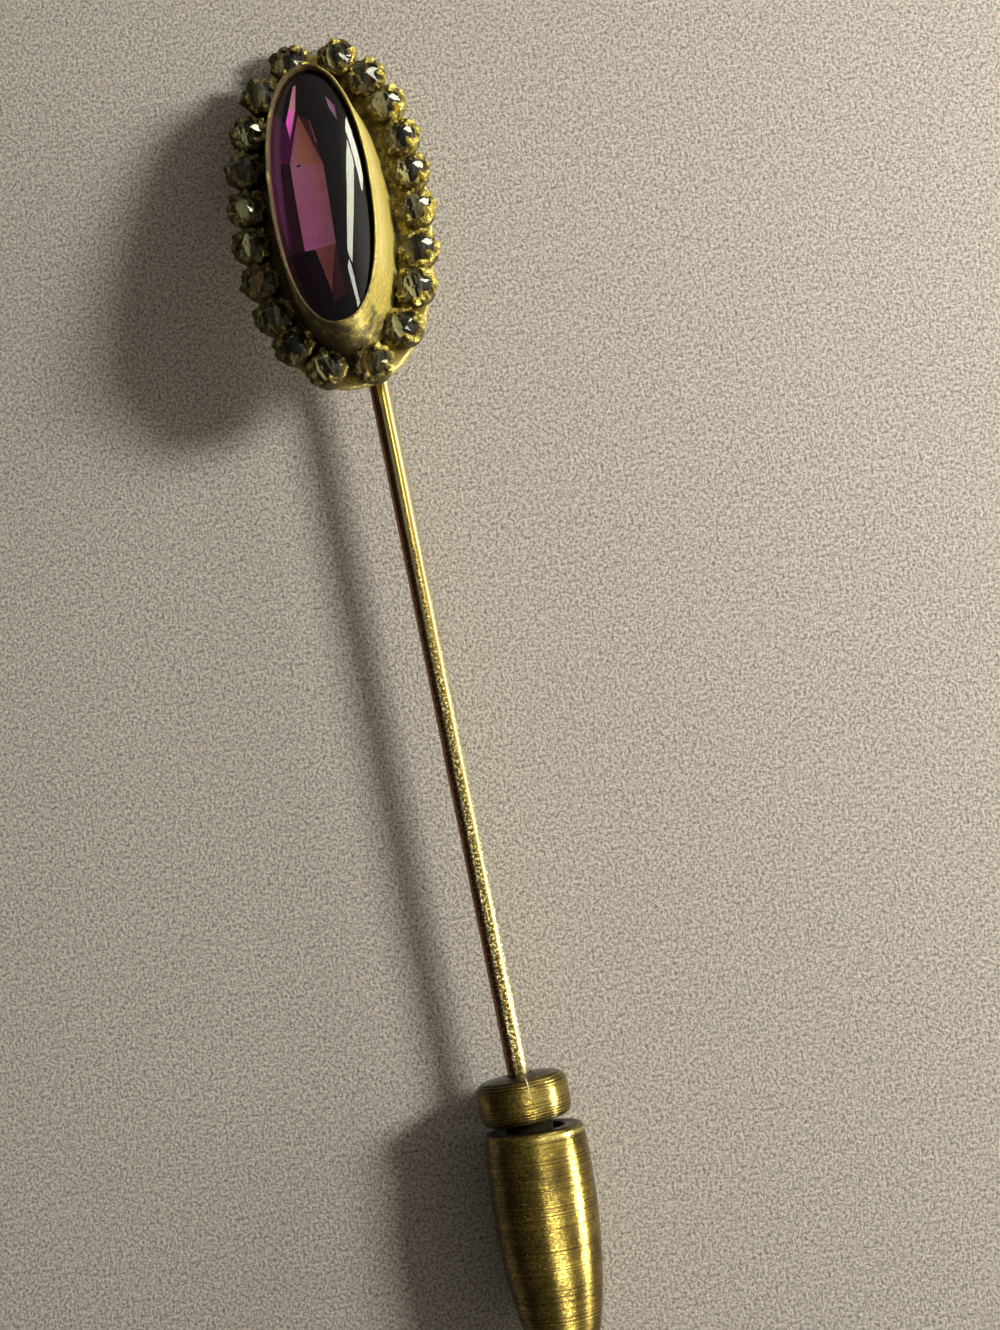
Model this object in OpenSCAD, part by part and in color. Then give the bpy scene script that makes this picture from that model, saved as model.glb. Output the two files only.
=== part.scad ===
// A stick pin: a long domed stone in a plain oval bezel, a halo of twenty small round stones in
// their own soldered seats, a straight round stem, and a push-on clutch on the stem's point.
// It lies on a level surface: the stem runs along Y, the stone's end is +Y and up is +Z.

/* [Head] */
// Tilt of the head to the stem, its far end down, in degrees
head_tilt = 16; // [10:0.5:18]
// Half width of the line through the halo seats
halo_half_width = 3.66; // [3.5:0.02:3.9]
// Half length of the line through the halo seats
halo_half_length = 7.88; // [7.6:0.02:8.2]
// Squareness of the ovals, where 2 is a true ellipse
squareness = 2.2; // [2:0.05:2.4]
// Thickness of the base plate
plate_thickness = 0.35; // [0.3:0.05:0.5]
// How far the base plate reaches past the line through the seats
plate_margin = 0.5; // [0.4:0.05:0.6]

/* [Bezel] */
// Half width of the bezel over its rim
bezel_half_width = 2.24; // [2.1:0.02:2.3]
// Half length of the bezel over its rim
bezel_half_length = 6.4; // [6.2:0.02:6.5]
// Height of the bezel rim over the back of the plate
bezel_height = 3.15; // [2.9:0.05:3.3]
// How far the bezel wall spreads at its foot
bezel_flare = 0.33; // [0.2:0.01:0.4]
// Thickness of the bezel at its rim
bezel_wall = 0.2; // [0.16:0.01:0.24]
// How far the bezel sits towards the stem's point from the middle of the halo
bezel_shift = 0.45; // [0.2:0.05:0.5]

/* [Centre stone] */
// Height of the dome over the girdle
dome_height = 1.3; // [1:0.05:1.6]
// Depth of the faceted underside
pavilion_depth = 1.9; // [1.4:0.05:2]
// Depth of the girdle under the bezel rim
girdle_drop = 0.25; // [0.2:0.01:0.3]

/* [Halo] */
// Radius of a halo stone at its girdle
halo_stone_r = 0.68; // [0.62:0.01:0.7]
// Outer radius of a halo seat
seat_r = 0.9; // [0.86:0.01:0.94]
// Height of a halo seat's rim over the back of the plate
seat_height = 1.1; // [1:0.05:1.2]
// Radius of a prong
prong_r = 0.16; // [0.14:0.01:0.18]
// Height of a prong over the seat's rim
prong_rise = 0.2; // [0.15:0.01:0.25]

/* [Stem] */
// Radius of the stem
stem_r = 0.46; // [0.44:0.01:0.5]
// How far the stem lies to the right of the head's middle line
stem_offset = 0.43; // [0:0.01:0.5]
// From the middle of the head to the clutch
stem_reach = 37.5; // [36:0.1:42]
// Length of the stem inside the clutch
stem_in_clutch = 9.7; // [9:0.1:10]

/* [Clutch] */
// Radius of the collar
collar_r = 1.95; // [1.85:0.01:2.05]
// Height of the collar
collar_height = 1.95; // [1.7:0.05:2.1]
// Gap between the collar and the barrel at their middle
clutch_gap = 0.33; // [0.33:0.01:0.4]
// Radius of the barrel at its mouth
barrel_mouth_r = 2.08; // [2.04:0.01:2.14]
// Radius of the barrel at its widest
barrel_r = 2.22; // [2.18:0.01:2.3]
// From the barrel's mouth to its widest
barrel_belly = 2.6; // [2.4:0.1:3.2]
// Length of the barrel
barrel_length = 11; // [11:0.1:12.5]
// How far the barrel leans from the stem, sideways, in degrees
barrel_lean = 3.2; // [0:0.1:3.6]

/* [Hidden] */
HALO_COUNT = 20;

// How far each halo seat was set past an even spacing, clockwise from the far end: hand work
seat_shift = [0.45, 0.35, 0.2, 0.15, 0.05, 0.05, 0.1, 0, 0, 0.2,
    0.35, 0.35, 0.2, 0.1, 0.05, 0, 0, 0, 0, 0.15];

// Sides of round shapes: turned brass, bores, wire and seats, prongs
turned_sides = 96;
bore_sides = 64;
wire_sides = 48;
prong_sides = 24;

// Clearance between a stone and its metal
stone_gap = 0.03;
// Thickness that one solid sinks into the next where both are one soldered piece
weld = 0.05;
// Points on an oval, and thin slices that a dome is stretched over
oval_points = 72;
dome_slices = 9;
slice = 0.01;

// Bezel: inside of the rim, and the ledge under the stone
bezel_inner_w = bezel_half_width - bezel_wall;
bezel_inner_l = bezel_half_length - bezel_wall;
bezel_ledge = 0.25;
girdle_z = bezel_height - girdle_drop;
girdle_thickness = 0.2;
// The stone's facets slope in under the girdle, so the ledge starts this much lower
ledge_drop = 0.3;
ledge_z = girdle_z - girdle_thickness - ledge_drop;
stone_w = bezel_inner_w - stone_gap;
stone_l = bezel_inner_l - stone_gap;
// The flat keel that the underside's facets run down to, as shares of the stone
keel_w = 0.3;
keel_l = 0.55;
keel_turns = [30, 90, 150, 210, 270, 330];

// Halo: the line through the seats as a fine row of points, clockwise from the far end
line_steps = 720;
line = [for (i = [0 : line_steps])
    oval_point(halo_half_width, halo_half_length, 90 - 360 * i / line_steps)];
line_run = [for (i = 0, run = 0; i <= line_steps;
    run = run + (i < line_steps ? norm(line[i + 1] - line[i]) : 0), i = i + 1) run];
seat_pitch = line_run[line_steps] / HALO_COUNT;
halo_sink = 0.1;
halo_girdle_z = seat_height - halo_sink;
halo_girdle = 0.08;
halo_crown = 0.22;
halo_table_r = 0.4;
halo_depth = 0.5;
seat_bore_r = halo_stone_r + stone_gap;
seat_bore_depth = 0.65;
prong_ring_r = seat_bore_r + prong_r;
// Prongs stand off the line between neighbouring stones, two outside and two inside
prong_angles = [42, 138, 222, 318];

// The head rests on the far edge of its plate, and the barrel on its widest ring
stem_z = barrel_r;
head_z = (halo_half_length + plate_margin) * sin(head_tilt);
// The stem's thickened root is let into the back of the plate
root_r = 0.62;
root_length = 5.2;
root_sink = 1.2;
// The point: a slow taper through the clutch, then a sharp end
taper_r = 0.41;
tip_length = 3;
tip_r = 0.06;

// Clutch: how far the collar's rounded edges reach in and along, the neck between collar and
// barrel, and the barrel's two bores
collar_round_in = 0.5;
collar_round_along = 0.45;
collar_round_steps = 6;
bore_clearance = 0.08;
collar_bore_r = stem_r + bore_clearance;
neck_r = 1;
flange_r = 1.45;
flange_thickness = 0.4;
flange_depth = 0.75;
// How far a cutting shape runs past the face that it opens
overcut = 1;
lip_r = 1.32;
lip_depth = 0.6;
chamber_r = 1.72;
chamber_depth = 3.2;
barrel_bore_r = 1;
barrel_bore_depth = 9;
mouth_rounding = 0.18;
barrel_steps = 14;
// The barrel's axis crosses the stem's this far from its mouth
lean_pivot = 3.2;

// Along the stem, from the middle of the head, and the middle of the whole length
collar_top = -stem_reach;
barrel_top = collar_top - collar_height - clutch_gap;
barrel_end = barrel_top - lean_pivot - (barrel_length - lean_pivot) * cos(barrel_lean);
head_end = (halo_half_length + seat_r) * cos(head_tilt) + seat_height * sin(head_tilt);
middle = (head_end + barrel_end) / 2;

function halo_name(i) = str("halo_stone_", i < 10 ? "0" : "", i);

function oval_point(a, b, t) = [
    a * sign(cos(t)) * pow(abs(cos(t)), 2 / squareness),
    b * sign(sin(t)) * pow(abs(sin(t)), 2 / squareness)];

function oval(a, b) = [for (i = [0 : oval_points - 1]) oval_point(a, b, 360 * i / oval_points)];

// How far round the line the middle of halo seat i lies
function seat_run(i) = (i - 0.5) * seat_pitch + seat_shift[i - 1];
function line_index(run) = len([for (value = line_run) if (value <= run) 1]) - 1;
function seat_place(i) = line[line_index(seat_run(i))];
// The way out of the oval at seat i, square to the line
function seat_turn(i) = let (
    at = line_index(seat_run(i)),
    along = line[at + 1] - line[at - 1]) atan2(along[0], -along[1]);

// Radius of the barrel this far from its mouth: two half ovals that meet at the widest ring
belly_reach = barrel_belly / sqrt(1 - pow(barrel_mouth_r / barrel_r, 2));
nose_reach = barrel_length - barrel_belly;
function barrel_profile(s) = s < barrel_belly
    ? barrel_r * sqrt(1 - pow((barrel_belly - s) / belly_reach, 2))
    : barrel_r * sqrt(max(0, 1 - pow((s - barrel_belly) / nose_reach, 2)));

// Carries the head from its own frame, plate back at zero, to where it lies
module at_head() {
    translate([0, -middle, head_z]) rotate([-head_tilt, 0, 0]) children();
}

// Turns a shape drawn up Z so that it runs along the stem towards the point, from s past the head
module along_stem(s) {
    translate([stem_offset, -middle - s, stem_z]) rotate([90, 0, 0]) children();
}

// The same along the barrel's own leaning axis, from its mouth
module along_barrel() {
    along_stem(-barrel_top + lean_pivot)
        rotate([0, -barrel_lean, 0])
            translate([0, 0, -lean_pivot])
                children();
}

module oval_prism(a, b, from, to) {
    translate([0, 0, from]) linear_extrude(to - from) polygon(oval(a, b));
}

module bezel() {
    foot_w = bezel_half_width + bezel_flare;
    wall_from = plate_thickness - weld;
    difference() {
        translate([0, -bezel_shift, wall_from])
            linear_extrude(bezel_height - wall_from,
                scale = [bezel_half_width / foot_w, bezel_half_length / (bezel_half_length + bezel_flare)])
                polygon(oval(foot_w, bezel_half_length + bezel_flare));
        translate([0, -bezel_shift, 0]) {
            oval_prism(bezel_inner_w, bezel_inner_l, ledge_z, bezel_height + overcut);
            oval_prism(bezel_inner_w - bezel_ledge, bezel_inner_l - bezel_ledge,
                plate_thickness, bezel_height);
        }
    }
}

module halo_seat() {
    foot = plate_thickness - weld;
    translate([0, 0, foot]) cylinder(h = seat_height - foot, r = seat_r, $fn = wire_sides);
    for (turn = prong_angles)
        rotate([0, 0, turn])
            translate([prong_ring_r, 0, foot])
                cylinder(h = seat_height + prong_rise - foot, r = prong_r, $fn = prong_sides);
}

module halo_seat_bore() {
    translate([0, 0, seat_height - seat_bore_depth])
        cylinder(h = seat_bore_depth + prong_rise + overcut, r = seat_bore_r, $fn = wire_sides);
}

module at_seat(i) {
    translate([seat_place(i)[0], seat_place(i)[1], 0]) rotate([0, 0, seat_turn(i)]) children();
}

// A length of round wire, from s past the head, that may narrow towards the point
module wire(s, length, r_from, r_to) {
    along_stem(s) cylinder(h = length, r1 = r_from, r2 = r_to, $fn = wire_sides);
}

module stem() {
    taper_length = stem_in_clutch - tip_length;
    wire(-root_sink, root_sink + root_length, root_r, stem_r);
    wire(root_length, stem_reach - root_length, stem_r, stem_r);
    wire(stem_reach, taper_length, stem_r, taper_r);
    wire(stem_reach + taper_length, tip_length, taper_r, tip_r);
}

module setting_with_stem() {
    color("goldenrod") {
        at_head() {
            difference() {
                union() {
                    oval_prism(halo_half_width + plate_margin, halo_half_length + plate_margin,
                        0, plate_thickness);
                    for (i = [1 : HALO_COUNT]) at_seat(i) halo_seat();
                }
                for (i = [1 : HALO_COUNT]) at_seat(i) halo_seat_bore();
            }
            bezel();
        }
        stem();
    }
}

module center_stone() {
    keel = [for (t = keel_turns) [stone_w * keel_w * cos(t), stone_l * keel_l * sin(t)]];
    color("rebeccapurple")
        at_head() translate([0, -bezel_shift, girdle_z]) hull() {
            translate([0, 0, -pavilion_depth]) linear_extrude(slice) polygon(keel);
            oval_prism(stone_w, stone_l, -girdle_thickness, 0);
            for (i = [1 : dome_slices - 1]) let (lift = 90 * i / dome_slices)
                oval_prism(stone_w * cos(lift), stone_l * cos(lift),
                    dome_height * sin(lift), dome_height * sin(lift) + slice);
        }
}

// A small round stone: flat table, crown, girdle and cone
module halo_stone(i) {
    color("slategray")
        at_head() at_seat(i) translate([0, 0, halo_girdle_z]) rotate_extrude($fn = wire_sides) polygon([
            [0, -halo_depth], [halo_stone_r, 0], [halo_stone_r, halo_girdle],
            [halo_table_r, halo_girdle + halo_crown], [0, halo_girdle + halo_crown]]);
}

// One rounded edge of the collar, from its flat face out to its full radius
collar_edge = [for (i = [0 : collar_round_steps]) let (turn = 90 * i / collar_round_steps)
    [collar_r - collar_round_in * (1 - sin(turn)), collar_round_along * (1 - cos(turn))]];

module clutch_collar() {
    flange_from = collar_height + clutch_gap + flange_depth;
    other_edge = [for (i = [collar_round_steps : -1 : 0])
        [collar_edge[i][0], collar_height - collar_edge[i][1]]];
    color("darkgoldenrod") along_stem(stem_reach) difference() {
        union() {
            rotate_extrude($fn = turned_sides)
                polygon(concat([[0, 0]], collar_edge, other_edge, [[0, collar_height]]));
            cylinder(h = flange_from + weld, r = neck_r, $fn = bore_sides);
            translate([0, 0, flange_from])
                cylinder(h = flange_thickness, r = flange_r, $fn = bore_sides);
        }
        translate([0, 0, -overcut])
            cylinder(h = flange_from + flange_thickness + 2 * overcut, r = collar_bore_r,
                $fn = bore_sides);
    }
}

module clutch_barrel() {
    stations = [for (i = [0 : barrel_steps])
        mouth_rounding + (barrel_length - mouth_rounding) * sin(90 * i / barrel_steps)];
    outline = [for (s = stations) [barrel_profile(s), s]];
    mouth = [[0, barrel_length], [0, 0], [barrel_mouth_r - mouth_rounding, 0]];
    color("darkgoldenrod") along_barrel() difference() {
        rotate_extrude($fn = turned_sides) polygon(concat(mouth, outline));
        translate([0, 0, -overcut])
            cylinder(h = overcut + lip_depth + weld, r = lip_r, $fn = bore_sides);
        translate([0, 0, lip_depth])
            cylinder(h = chamber_depth - lip_depth, r = chamber_r, $fn = bore_sides);
        cylinder(h = barrel_bore_depth, r = barrel_bore_r, $fn = bore_sides);
    }
}

setting_with_stem();
center_stone();
for (i = [1 : HALO_COUNT]) halo_stone(i);
clutch_collar();
clutch_barrel();
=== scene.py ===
import math

import bpy
import numpy as np
from mathutils import Matrix, Vector


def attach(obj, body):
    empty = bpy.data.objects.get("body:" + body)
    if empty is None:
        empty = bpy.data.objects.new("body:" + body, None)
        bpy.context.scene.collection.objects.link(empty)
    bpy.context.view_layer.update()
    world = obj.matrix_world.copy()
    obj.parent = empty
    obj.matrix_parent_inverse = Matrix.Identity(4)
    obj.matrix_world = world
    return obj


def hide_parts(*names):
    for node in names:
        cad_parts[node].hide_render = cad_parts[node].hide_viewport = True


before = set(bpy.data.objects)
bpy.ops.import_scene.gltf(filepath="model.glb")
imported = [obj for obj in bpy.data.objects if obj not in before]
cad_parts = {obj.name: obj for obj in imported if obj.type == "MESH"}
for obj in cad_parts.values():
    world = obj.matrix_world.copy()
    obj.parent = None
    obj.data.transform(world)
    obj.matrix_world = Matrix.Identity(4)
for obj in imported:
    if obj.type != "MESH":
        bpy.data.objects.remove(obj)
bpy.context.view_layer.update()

bl_info = {
    "name": "Stick pin with clutch",
    "version": (1, 0, 0),
    "blender": (4, 5, 0),
    "location": "View3D > Sidebar > Stick pin",
    "description": "A stick pin with a long domed stone, a halo of small stones and a push-on clutch",
    "category": "Add Mesh",
}

MM = 0.001

# The layout in millimetres, as the CAD has it. The head has its own frame, with the back of its
# plate at zero, and is tilted about X. Lengths down the stem are counted from the head's middle.
TILT = math.radians(16)
HALO_W, HALO_L = 3.66, 7.88
SQUARENESS = 2.2
PLATE, PLATE_MARGIN = 0.35, 0.5
BEZEL_W, BEZEL_L, BEZEL_H = 2.24, 6.4, 3.15
BEZEL_FLARE, BEZEL_WALL, BEZEL_SHIFT = 0.33, 0.15, 0.45
LEDGE_Z, LEDGE = 2.4, 0.25
GIRDLE_Z, GIRDLE = 2.9, 0.2
STONE_W, STONE_L = BEZEL_W - BEZEL_WALL - 0.03, BEZEL_L - BEZEL_WALL - 0.03
SEATS = 20
SEAT_SHIFT = (0.45, 0.35, 0.2, 0.15, 0.05, 0.05, 0.1, 0, 0, 0.2,
              0.35, 0.35, 0.2, 0.1, 0.05, 0, 0, 0, 0, 0.15)
# Lobes round a seat's rim, in degrees, and their sizes. The first four are claws
LOBE_TURNS = (44, 136, 224, 316, 0, 90, 180, 270)
LOBE_SIZES = (1.1, 0.75, 0.75, 1.1, 0.7, 0.7, 0.7, 0.7)
LOBES, CLAWS = 8, 4
STEM_X, STEM_Z = 0.43, 2.22
STEM_R, TAPER_R, ROOT_R = 0.46, 0.41, 0.62
REACH, CLUTCH_GAP = 37.5, 0.33
COLLAR_H, COLLAR_R = 1.95, 1.95
BARREL_LENGTH, BARREL_MOUTH, BARREL_BELLY_R, BARREL_BELLY = 11.0, 2.08, 2.22, 2.6
LEAN, LEAN_PIVOT = math.radians(3.2), 3.2
BARREL_TOP = REACH + COLLAR_H + CLUTCH_GAP
HEAD_Z = (HALO_L + PLATE_MARGIN) * math.sin(TILT)
HEAD_END = (HALO_L + 0.9) * math.cos(TILT) + 1.1 * math.sin(TILT)
BARREL_END = BARREL_TOP + LEAN_PIVOT + (BARREL_LENGTH - LEAN_PIVOT) * math.cos(LEAN)
MIDDLE = (HEAD_END - BARREL_END) / 2

# Halo stones whose right-hand kite faces the window, and the turn that this takes
GLINTS = (3, 5, 6, 7, 8, 18)
GLINT_TURN = math.radians(4)

rng = np.random.default_rng(20)


# Frames

def head_to_row(p):
    """Points of the head's frame, tilted about X and carried to where the head lies."""
    c, s = math.cos(TILT), math.sin(TILT)
    x, y, z = p[..., 0], p[..., 1], p[..., 2]
    return np.stack([x, y * c + z * s - MIDDLE, HEAD_Z - y * s + z * c], -1)


def stem_to_row(p):
    """Points of a shape drawn up Z from the head's middle, laid along the stem."""
    x, y, z = p[..., 0], p[..., 1], p[..., 2]
    return np.stack([STEM_X + x, -MIDDLE - z, STEM_Z + y], -1)


def barrel_to_row(p):
    """Points of a shape drawn up Z from the barrel's mouth, leant sideways about the pivot."""
    c, s = math.cos(LEAN), math.sin(LEAN)
    x, z = p[..., 0], p[..., 2] - LEAN_PIVOT
    leant = np.stack([x * c - z * s, p[..., 1], x * s + z * c + LEAN_PIVOT + BARREL_TOP], -1)
    return stem_to_row(leant)


def seat_frames():
    """Middle and outward turn of each halo seat: even steps along the oval line, each set on by
    its own small shift. The line is a fine row of points, clockwise from the far end."""
    steps = 720
    line = np.stack(oval(HALO_W, HALO_L, math.pi / 2 - np.linspace(0, 2 * math.pi, steps + 1)), -1)
    run = run_along(line)
    at = np.searchsorted(run, (np.arange(SEATS) + 0.5) * run[-1] / SEATS + np.array(SEAT_SHIFT)) - 1
    x, y = (line[at + 1] - line[at - 1]).T
    return line[at], np.arctan2(x, -y)


# Surfaces

def oval(a, b, t):
    """A squarish oval: half width times the signed power of the cosine, and half length times
    that of the sine, where the power is two over the squareness."""
    c, s, e = np.cos(t), np.sin(t), 2 / SQUARENESS
    return a * np.sign(c) * np.abs(c) ** e, b * np.sign(s) * np.abs(s) ** e


def run_along(line):
    """The length run along a row of points at each of them."""
    return np.concatenate([[0], np.cumsum(np.hypot(*np.diff(line, axis=0).T))])


def even_turns(a, b, n):
    """Angles that step evenly along the outline of an oval, found by running its length."""
    t = np.linspace(0, 2 * math.pi, 2881)
    run = run_along(np.stack(oval(a, b, t), -1))
    return np.interp(np.arange(n) * run[-1] / n, run, t)


def oval_sweep(profile, a, b, shift, cols):
    """A profile of (offset, height) carried round an oval: each ring is the oval with the offset
    added to both halves, at that height, or a point where the offset is minus the half width."""
    off, z = np.asarray(profile, float).T
    t = even_turns(a, b, cols)[None]
    lone = (off <= -a)[:, None]
    x, y = oval(np.where(lone, 0, a + off[:, None]), np.where(lone, 0, b + off[:, None]), t)
    return np.stack([x, y - shift, np.broadcast_to(z[:, None], x.shape)], -1)


def ring_of(radius, turns, height):
    """Points at the given radius, or radii, and turns, all at one height."""
    return np.stack([radius * np.cos(turns), radius * np.sin(turns), np.full(len(turns), height)], -1)


def circle(cols):
    """Even turns right round."""
    return np.linspace(0, 2 * math.pi, cols, endpoint=False)


def quarter(steps):
    """A quarter circle at even turns: how far it is from one side, which goes from 0 to 1, and
    from the other, which goes from 1 to 0."""
    turn = np.linspace(0, math.pi / 2, steps)
    return 1 - np.cos(turn), 1 - np.sin(turn)


def turned(profile, cols):
    """A profile of (radius, height) turned about Z."""
    r, z = profile.T[..., None]
    t = circle(cols)
    return np.stack([r * np.cos(t), r * np.sin(t), np.broadcast_to(z, (len(z), cols))], -1)


def spun(points, turn):
    """Points turned about Z."""
    c, s = math.cos(turn), math.sin(turn)
    return points @ np.array([[c, s, 0], [-s, c, 0], [0, 0, 1]])


def rounded(points, rows):
    """Rows of points, resampled evenly along smooth curves through them: Catmull-Rom splines, the
    cubics that leave each point along the line between its neighbours."""
    p = np.concatenate([2 * points[:1] - points[1:2], points, 2 * points[-1:] - points[-2:-1]])
    u = np.linspace(0, len(p) - 3, rows)
    i = np.minimum(u.astype(int), len(p) - 4)
    f = (u - i)[:, None, None]
    a, b, c, d = p[i], p[i + 1], p[i + 2], p[i + 3]
    return 0.5 * (2 * b + (c - a) * f + (2 * a - 5 * b + 4 * c - d) * f ** 2
                  + (3 * b - a - 3 * c + d) * f ** 3)


def ripple(t, waves, size):
    """A slow unevenness round a closed line: a few cosines of random phase and size."""
    phase = rng.uniform(0, 2 * math.pi, len(waves))
    height = rng.uniform(0.4, 1, len(waves))
    return size * (height[:, None] * np.cos(np.outer(waves, t) + phase[:, None])).sum(0) / len(waves)


def outwards(quad, points):
    """Whether quads turn outwards. Each is two triangles, and the volume under a triangle is a
    sixth of the triple product of its corners, so the sum of these is above zero."""
    a, b, c, d = (points[quad[:, k]] for k in range(4))
    return (a * (np.cross(b, c) + np.cross(c, d))).sum() > 0


def lumps(points, size):
    """Smooth unevenness from about -1 to 1 at each point: the sum of 24 cosines across random
    directions, with wave lengths near size, times the root of two over their count, and halved."""
    count = 24
    way = rng.normal(size=(count, 3))
    waves = rng.uniform(0.6, 1.5, (count, 1)) * 2 * math.pi / size
    way *= waves / np.linalg.norm(way, axis=1, keepdims=True)
    return np.cos(points @ way.T + rng.uniform(0, 2 * math.pi, count)).sum(-1) * math.sqrt(2 / count) / 2


def skin(name, parts, material, body, replaces):
    """One mesh from several grids of points in millimetres. Each part is a dict: grid, rows by
    columns with the columns closed into rings; loop, the rows closed too; the wear value, from 0
    for hollows to 1 for worn heights, which on some pieces also holds painted light and shade;
    length, the run along the rows, for the UV map. A first or last row whose points are all one
    becomes a pole, and every part is turned to face outwards."""
    verts, quads, places, wear_and_shade, start = [], [], [], [], 0
    for part in parts:
        grid, loop = part["grid"], part.get("loop", False)
        rows, cols = grid.shape[:2]
        index = np.arange(rows * cols).reshape(rows, cols)
        for row in (0, rows - 1):
            if not loop and np.ptp(grid[row], axis=0).max() < 1e-6:
                index[row] = index[row, 0]
        index = np.concatenate([index, index[:1]]) if loop else index
        index = np.concatenate([index, index[:, :1]], 1)
        run = np.asarray(part.get("length", np.arange(rows, dtype=float)))
        run = np.concatenate([run, run[-1:]])[:len(index)]
        u = np.broadcast_to(np.linspace(0, 1, cols + 1), index.shape)
        v = np.broadcast_to(run[:, None], index.shape)
        square = [np.stack([m[:-1, :-1], m[:-1, 1:], m[1:, 1:], m[1:, :-1]], -1).reshape(-1, 4)
                  for m in (index, u, v)]
        points = grid.reshape(-1, 3)
        if not outwards(square[0], points):
            square = [m[:, ::-1] for m in square]
        verts.append(points)
        quads.append(square[0] + start)
        places.append(np.stack(square[1:], -1))
        wear_and_shade.append(np.broadcast_to(part["wear_and_shade"], (rows, cols)).reshape(-1))
        start += rows * cols
    quad, place = np.concatenate(quads), np.concatenate(places)
    # A quad with a pole on one side has two corners that are one, and becomes a triangle
    same = quad == np.roll(quad, -1, axis=1)
    whole = ~same.any(1)
    faces, runs = [quad[whole]], [place[whole].reshape(-1, 2)]
    for corner in range(4):
        at_pole = same[:, corner]
        faces.append(np.delete(quad[at_pole], corner, 1))
        runs.append(np.delete(place[at_pole], corner, 1).reshape(-1, 2))
    used = np.unique(quad)
    lists = [face for group in faces for face in np.searchsorted(used, group).tolist()]
    mesh = bpy.data.meshes.new(name)
    mesh.from_pydata(np.concatenate(verts)[used] * MM, [], lists)
    mesh.uv_layers.new(name="run").uv.foreach_set("vector", np.concatenate(runs).astype(np.float32).ravel())
    mesh.attributes.new("wear_and_shade", "FLOAT", "POINT").data.foreach_set(
        "value", np.concatenate(wear_and_shade)[used].astype(np.float32))
    mesh.polygons.foreach_set("use_smooth", np.ones(len(mesh.polygons), bool))
    piece(name, mesh, [material], body, replaces)


def faces_of(*corners):
    """Faces from rows of point numbers: one row for each corner, one column for each face."""
    return np.stack(corners, -1).tolist()


def stone(name, verts, glass, under, tones, materials, node, smooth):
    """One mesh from the glass faces of a stone and the foil facets under them. tones holds a
    colour for each corner of the foil facets, in their order."""
    mesh = bpy.data.meshes.new(name)
    mesh.from_pydata(head_to_row(verts) * MM, [], glass + under)
    foil_side = np.arange(len(mesh.polygons)) >= len(glass)
    mesh.polygons.foreach_set("use_smooth", ~foil_side & smooth)
    mesh.polygons.foreach_set("material_index", foil_side.astype(np.int32))
    clear = np.full((len(mesh.loops) - len(tones), 3), 0.5)
    colour = np.concatenate([clear, tones])
    mesh.color_attributes.new("tone", "FLOAT_COLOR", "CORNER").data.foreach_set(
        "color", np.concatenate([colour, np.ones((len(colour), 1))], 1).astype(np.float32).ravel())
    piece(name, mesh, materials, "pin", [node])


def placed(name, data):
    """A new object in the scene."""
    made = bpy.data.objects.new(name, data)
    bpy.context.scene.collection.objects.link(made)
    return made


def piece(name, mesh, materials, body, replaces):
    """Puts a mesh in the scene as a piece that rides on a body and stands for CAD nodes."""
    for material in materials:
        mesh.materials.append(material)
    thing = placed(name, mesh)
    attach(thing, body)
    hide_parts(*replaces)


# Materials

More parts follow.
